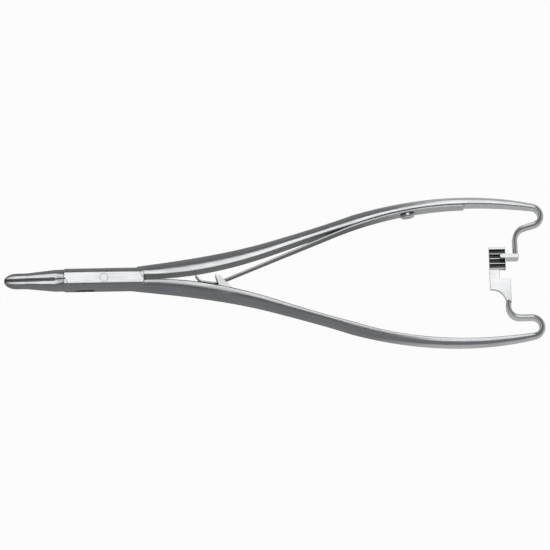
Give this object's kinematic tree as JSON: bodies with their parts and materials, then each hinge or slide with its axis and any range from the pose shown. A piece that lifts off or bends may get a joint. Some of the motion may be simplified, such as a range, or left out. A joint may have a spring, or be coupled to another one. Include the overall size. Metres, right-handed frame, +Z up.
{
  "type": "surgical needle holder",
  "caption": "Palm-handled needle holder with a box lock, short carbide jaws, a crossing leaf spring and a ratchet catch between the handle ends.",
  "frame": {"origin": "on the joint's axis, in the plane that the instrument lies on", "axes": "+X from the joint along the instrument to the handle ends, -X to the jaw tips, +Y to the handle that carries the leaf spring, +Z up out of the side shown, along the joint pin"},
  "size_m": [0.2005, 0.0577, 0.007],
  "materials": {
    "satin_steel": "satin",
    "polished_steel": "polished",
    "carbide": "ground and cross-serrated"
  },
  "bodies": {
    "box_side": {"box_half": "satin_steel", "joint_pin": "polished_steel", "upper_jaw_insert": "carbide"},
    "tongue_side": {"tongue_half": "satin_steel", "lower_jaw_insert": "carbide", "leaf_spring": "polished_steel", "spring_screw": "polished_steel"}
  },
  "joints": [
    {"name": "box_lock", "type": "hinge", "parent": "box_side", "child": "tongue_side", "pos_m": [0, 0, 0.0035], "axis": [0, 0, 1], "range_deg": [0, 14], "deforming": ["leaf_spring"]}
  ]
}
